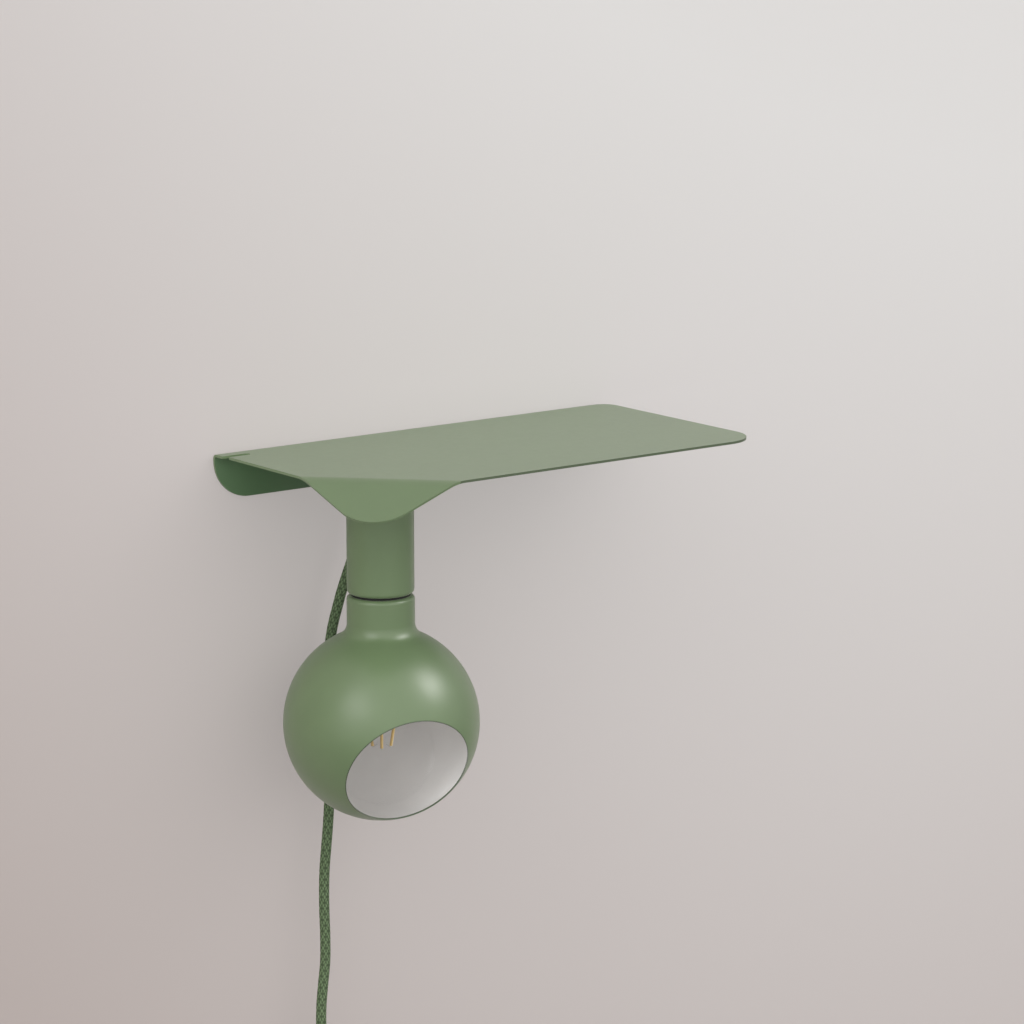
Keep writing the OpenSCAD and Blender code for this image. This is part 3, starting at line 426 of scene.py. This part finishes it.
GREEN = (0.163, 0.243, 0.121)
# Painted light: the shelf's top is coloured duller and greyer than the coat, for how the light falls across it
GREEN_TOP_PAINTED_LIGHT = (0.155, 0.222, 0.120)
# Painted shade: the flange's face under the plate, the folded corner's top and the thin edges of the shelf and of
# the shade's mouth are coloured darker by these shares of the coat
FLANGE_SHADE_TONE, TAB_SHADE_TONE, EDGE_SHADE_TONE = (0.70, 0.87, 0.86), 0.84, 0.45
BRASS = (0.72, 0.52, 0.22)
TEXTILE = (0.085, 0.125, 0.066)

# The shade's sphere and its mouth, in metres and radians, as in the model's source
SPHERE = tuple(c * MM for c in (-81, -76, -143.7))
MOUTH_TURN, MOUTH_TILT = math.radians(13), math.radians(27)
MOUTH_AXIS = (
    -math.cos(MOUTH_TILT) * math.sin(MOUTH_TURN),
    -math.cos(MOUTH_TILT) * math.cos(MOUTH_TURN),
    -math.sin(MOUTH_TILT),
)
MOUTH_RADIUS = 59 * MM * math.sin(math.radians(40.5))

green = powder_coat("green_powder_coat", GREEN)
green_top_painted_light = powder_coat("green_powder_coat_top_painted_light", GREEN_TOP_PAINTED_LIGHT, 0.4)
green_flange_painted_shade = powder_coat("green_powder_coat_flange_painted_shade", tuple(c * k for c, k in zip(GREEN, FLANGE_SHADE_TONE)))
green_tab_painted_shade = powder_coat("green_powder_coat_tab_painted_shade", tuple(c * TAB_SHADE_TONE for c in GREEN))
green_edge_painted_shade = powder_coat("green_powder_coat_edge_painted_shade", tuple(c * EDGE_SHADE_TONE for c in GREEN), 0.5)
green_rim_painted_shade = powder_coat("green_powder_coat_rim_painted_shade", GREEN, edge=(SPHERE, MOUTH_AXIS, MOUTH_RADIUS))
white_inside = powder_coat("white_inside", (0.70, 0.687, 0.673), 0.5, 0.0)
black = moulded("black_plastic", (0.022, 0.022, 0.021))
green_plastic = moulded("dark_green_plastic", (0.07, 0.1, 0.06))
white = moulded("white_plastic", (0.78, 0.77, 0.72))
rubber = moulded("black_rubber", (0.014, 0.014, 0.014), 0.75)
steel = plain_metal("plated_steel", (0.62, 0.62, 0.6), 0.32)
brass = plain_metal("brass", BRASS, 0.3)
magnet = plain_metal("sintered_magnet", (0.12, 0.12, 0.125), 0.55)
glass = clear_glass("clear_glass")
filament = moulded("filament_coating", BRASS)
textile = braid("braided_textile", TEXTILE)
textile_mapless = moulded("textile_inside", TEXTILE, 0.85)
brown = moulded("brown_wire", (0.12, 0.05, 0.02))
blue = moulded("blue_wire", (0.02, 0.07, 0.25))

FINISHES = {
    "green_coat": green,
    "plated_steel": steel,
    "magnet": magnet,
    "white_plastic": white,
    "black_plastic": black,
    "green_plastic": green_plastic,
    "wire_brown": brown,
    "wire_blue": blue,
    "brass": brass,
    "black_rubber": rubber,
    "clear_glass": glass,
    "filament": filament,
    "textile": textile_mapless,
}


def dress():
    """Gives each CAD node the finish of its material slot. The bulb's glass casts no shadow."""
    for entry in frame["record"]["subparts"]:
        node = nodes[entry["node"]]
        if not node.material_slots:
            node.data.materials.append(None)
        for slot in node.material_slots:
            slot.material = FINISHES[entry["material_slot"]]
    for lead in (drop, spare):
        lead.data.materials.append(textile)
    for name in ("bulb_glass", "bulb_stem"):
        nodes[name].visible_diffuse = False
        nodes[name].visible_shadow = False


INNER_REACH = 58.6 * MM  # the shade's inner faces lie nearer the sphere's centre than this
RIM_REACH = 56 * MM  # and the mouth's cut edge farther out than this
NECK_REACH = 30 * MM
INWARD, SLANTED = -0.85, -0.3  # how squarely a face looks at the centre


def whiten_inside(radius, centre):
    """The shade's inner faces are white, its mouth's cut edge is dark with painted shade, and its skin has the
    painted shade line round the mouth.
    """
    shade = nodes["shade"]
    shade.material_slots[0].material = green_rim_painted_shade
    for finish in (green_edge_painted_shade, white_inside):
        shade.data.materials.append(finish)
    for face in shade.data.polygons:
        away = face.center - centre
        facing = face.normal.dot(away) / away.length
        inner_ball = away.length < radius and facing < INWARD
        # The mouth's cut edge takes painted shade
        rim = away.z < 20 * MM and away.length > RIM_REACH and INWARD <= facing < SLANTED
        flat = Vector((away.x, away.y, 0))
        in_neck = away.z > 0 and flat.length < NECK_REACH
        inner_neck = in_neck and face.normal.dot(flat) < 0 and face.normal.z < 0.2
        if inner_ball or inner_neck:
            face.material_index = len(shade.data.materials) - 1
        elif rim:
            face.material_index = len(shade.data.materials) - 2


def tone_shelf():
    """The shelf's coat with painted light and shade: duller on top as painted light, deeper on the folded corner and
    the flange and dark on the front edge as painted shade.
    """
    shelf = nodes["shelf"]
    for finish in (green_top_painted_light, green_flange_painted_shade, green_edge_painted_shade, green_tab_painted_shade):
        shelf.data.materials.append(finish)
    count = len(shelf.data.materials)
    top, flange, front_edge, tab = range(count - 4, count)
    for face in shelf.data.polygons:
        normal, place = face.normal, face.center
        # Painted light on the plate's top
        if normal.z > 0.995:
            face.material_index = top
        # Painted shade on the folded corner's top
        elif normal.z > 0.7 and normal.x < -0.05 and normal.y < -0.05:
            face.material_index = tab
        # Painted shade on the flange's face under the plate
        elif normal.y < -0.9 and place.y > -5 * MM:
            face.material_index = flange
        # Painted shade on the plate's front edge
        elif normal.y < -0.7 and place.y < -150 * MM and abs(normal.z) < 0.1:
            face.material_index = front_edge


dress()
tone_shelf()
whiten_inside(INNER_REACH, Vector(SPHERE))


# ---------------------------------------------------------------- wall, floor and light

# Painted light: the wall's colours from the lower left to the upper right, for the light falling off across it
WALL_LOW, WALL_MID, WALL_HIGH = (0.51, 0.452, 0.432), (0.618, 0.575, 0.563), (0.76, 0.75, 0.743)
WALL_GLOW, FLOOR_GLOW = 0.46, 0.6  # shares that the camera sees as plain colour
FLOOR_SEEN = (0.76, 0.75, 0.74)
FLOOR_LOW, FLOOR_HIGH = (0.30, 0.295, 0.29), (0.33, 0.325, 0.32)
WALL_Y, FLOOR_Z, FLOOR_REACH = 0.0003, -0.78, 5.0
WALL_SPREAD = 35, 400  # how many times wider and higher the wall is than its window


def stage_sheet(name, verts, faces, material):
    mesh = bpy.data.meshes.new(name)
    mesh.from_pydata(verts, [], faces)
    mesh.materials.append(material)
    obj = bpy.data.objects.new(name, mesh)
    bpy.context.scene.collection.objects.link(obj)
    return obj


def lift_for_camera(f, colour, share):
    """The camera sees a share of a stage sheet as plain colour, which softens its shadows and lights nothing."""
    glow = f.node("ShaderNodeEmission")
    if isinstance(colour, tuple):
        glow.inputs["Color"].default_value = (*colour, 1)
    else:
        f.join(colour, glow.inputs["Color"])
    rays = f.node("ShaderNodeLightPath")
    seen = f.math("MAXIMUM", rays.outputs["Is Camera Ray"], rays.outputs["Is Transmission Ray"])
    lifted = f.node("ShaderNodeMixShader")
    f.join(f.math("MULTIPLY", seen, share), lifted.inputs["Fac"])
    f.join(f.shader.outputs["BSDF"], lifted.inputs[1])
    f.join(glow.outputs["Emission"], lifted.inputs[2])
    f.join(lifted.outputs["Shader"], f.output.inputs["Surface"])
    return lifted


def wall_paint():
    """Matt paint with shadows softened for the camera, on the side that a sheet faces. The other side is clear.

    It lightens upwards and to the right: painted light that falls off towards the lower left.
    """
    f = Finish("wall_paint", (0.7, 0.68, 0.67), 0.9)
    parts = f.node("ShaderNodeSeparateXYZ")
    f.join(f.place(), parts.inputs["Vector"])
    rise = f.node("ShaderNodeMapRange")
    rise.inputs["From Min"].default_value = -0.6
    rise.inputs["From Max"].default_value = 0.4
    across = f.math("SUBTRACT", 0.88, f.math("MULTIPLY", parts.outputs["X"], 0.81))
    height = f.math("ADD", parts.outputs["Z"], f.math("MULTIPLY", parts.outputs["X"], across))
    f.join(f.math("ADD", height, f.math("MULTIPLY", f.noise(1.3, 3.0), 0.04)), rise.inputs["Value"])
    paint = f.ramp(rise.outputs["Result"], [(0.0, WALL_LOW), (0.43, WALL_MID), (1.0, WALL_HIGH)])
    f.join(paint, f.shader.inputs["Base Color"])
    f.bump(f.noise(900, 2.0), 0.0001, 0.15)
    lifted = lift_for_camera(f, paint, WALL_GLOW)
    clear = f.node("ShaderNodeBsdfTransparent")
    side = f.node("ShaderNodeNewGeometry")
    mix = f.node("ShaderNodeMixShader")
    f.join(side.outputs["Backfacing"], mix.inputs["Fac"])
    f.join(lifted.outputs["Shader"], mix.inputs[1])
    f.join(clear.outputs["BSDF"], mix.inputs[2])
    f.join(mix.outputs["Shader"], f.output.inputs["Surface"])
    return f.material


def make_stage():
    """A wall with a window hidden behind the shelf's flange, and a floor far below.

    The sheet in the window is for the camera alone. It faces away from the room, so it is clear from there, and from
    behind it covers the flange.
    """
    left, right, top, bottom, corner = -0.148, 0.136, 0.0125, -0.011, 0.023
    window = [(right, top), (left, top)]
    for middle, first in ((left + corner, 180), (right - corner, 270)):
        for angle in range(first, first + 91, 10):
            a = math.radians(angle)
            window.append((middle + corner * math.cos(a), bottom + corner + corner * math.sin(a)))
    mid_x, mid_z = (left + right) / 2, (top + bottom) / 2
    wider, higher = WALL_SPREAD
    count = len(window)
    verts = [(x, WALL_Y, z) for x, z in window]
    verts += [(mid_x + (x - mid_x) * wider, WALL_Y, mid_z + (z - mid_z) * higher) for x, z in window]
    faces = [(i, i + count, (i + 1) % count + count, (i + 1) % count) for i in range(count)]
    paint = wall_paint()
    stage_sheet("wall", verts, faces, paint)
    behind = stage_sheet("wall_behind_flange", verts[:count], [tuple(reversed(range(count)))], paint)
    behind.visible_diffuse = behind.visible_glossy = behind.visible_shadow = False
    f = Finish("floor_paint", (0.3, 0.3, 0.3), 0.9)
    f.join(f.ramp(f.noise(2.0, 3.0), [(0.35, FLOOR_LOW), (0.65, FLOOR_HIGH)]), f.shader.inputs["Base Color"])
    lift_for_camera(f, FLOOR_SEEN, FLOOR_GLOW)
    corners = ((-1, -1), (1, -1), (1, 1), (-1, 1))
    verts = [(x * FLOOR_REACH, y * FLOOR_REACH, FLOOR_Z) for x, y in corners]
    stage_sheet("floor", verts, [(0, 1, 2, 3)], f.material)


KEY_FROM, SIDE_FROM = (0.578, -0.534, 0.619), (-0.80, -0.33, 0.50)
WARM, COOL = (1.0, 0.985, 0.965), (0.97, 0.985, 1.0)
LAMPS_FACE = (-0.05, -0.07, -0.1)
LAMP_DISTANCE = 2.6


def area_light(name, towards, size, power, colour, shine_only=False):
    """A square lamp that faces the shade, in the given direction from it."""
    data = bpy.data.lights.new(name, "AREA")
    data.shape = "SQUARE"
    data.size = size
    data.energy = power
    data.color = colour
    obj = bpy.data.objects.new(name, data)
    direction = Vector(towards).normalized()
    obj.location = Vector(LAMPS_FACE) + direction * LAMP_DISTANCE
    obj.rotation_mode = "QUATERNION"
    obj.rotation_quaternion = direction.to_track_quat("Z", "Y")
    obj.visible_diffuse = not shine_only
    bpy.context.scene.collection.objects.link(obj)
    return obj


def make_lamps():
    """A key and a side lamp, each with one for shine alone, and a weak light inside the shade."""
    area_light("key", KEY_FROM, 2.0, 4, WARM)
    area_light("side", SIDE_FROM, 1.2, 4.6, COOL)
    area_light("key_shine", KEY_FROM, 0.9, 36, WARM, shine_only=True)
    area_light("side_shine", SIDE_FROM, 0.8, 9, WARM, shine_only=True)
    inside = bpy.data.lights.new("inside", "POINT")
    inside.energy = 0.0165
    inside.shadow_soft_size = 0.02
    spot = bpy.data.objects.new("inside", inside)
    spot.location = (-0.060, -0.092, -0.169)
    bpy.context.scene.collection.objects.link(spot)


def make_room():
    """The light of the room, stronger from the upper left front, and its plain colour for the camera."""
    world = bpy.data.worlds.new("room")
    bpy.context.scene.world = world
    world.use_nodes = True
    tree = world.node_tree
    back = tree.nodes["Background"]
    back.inputs["Color"].default_value = (1.0, 0.975, 0.955, 1)
    place = tree.nodes.new("ShaderNodeTexCoord")
    lean = tree.nodes.new("ShaderNodeVectorMath")
    lean.operation = "DOT_PRODUCT"
    lean.inputs[1].default_value = (-0.4, -0.7, 0.42)
    tree.links.new(place.outputs["Generated"], lean.inputs[0])
    height = tree.nodes.new("ShaderNodeMapRange")
    height.inputs["From Min"].default_value = -0.7
    height.inputs["From Max"].default_value = 0.9
    height.inputs["To Min"].default_value = 0.2
    height.inputs["To Max"].default_value = 1.4
    tree.links.new(lean.outputs["Value"], height.inputs["Value"])
    tree.links.new(height.outputs["Result"], back.inputs["Strength"])
    seen = tree.nodes.new("ShaderNodeBackground")
    seen.inputs["Color"].default_value = (0.80, 0.79, 0.78, 1)
    seen.inputs["Strength"].default_value = 1.0
    mix = tree.nodes.new("ShaderNodeMixShader")
    rays = tree.nodes.new("ShaderNodeLightPath")
    tree.links.new(rays.outputs["Is Camera Ray"], mix.inputs["Fac"])
    tree.links.new(back.outputs["Background"], mix.inputs[1])
    tree.links.new(seen.outputs["Background"], mix.inputs[2])
    tree.links.new(mix.outputs["Shader"], tree.nodes["World Output"].inputs["Surface"])


make_stage()
make_lamps()
make_room()
bpy.context.scene.view_settings.view_transform = "Standard"
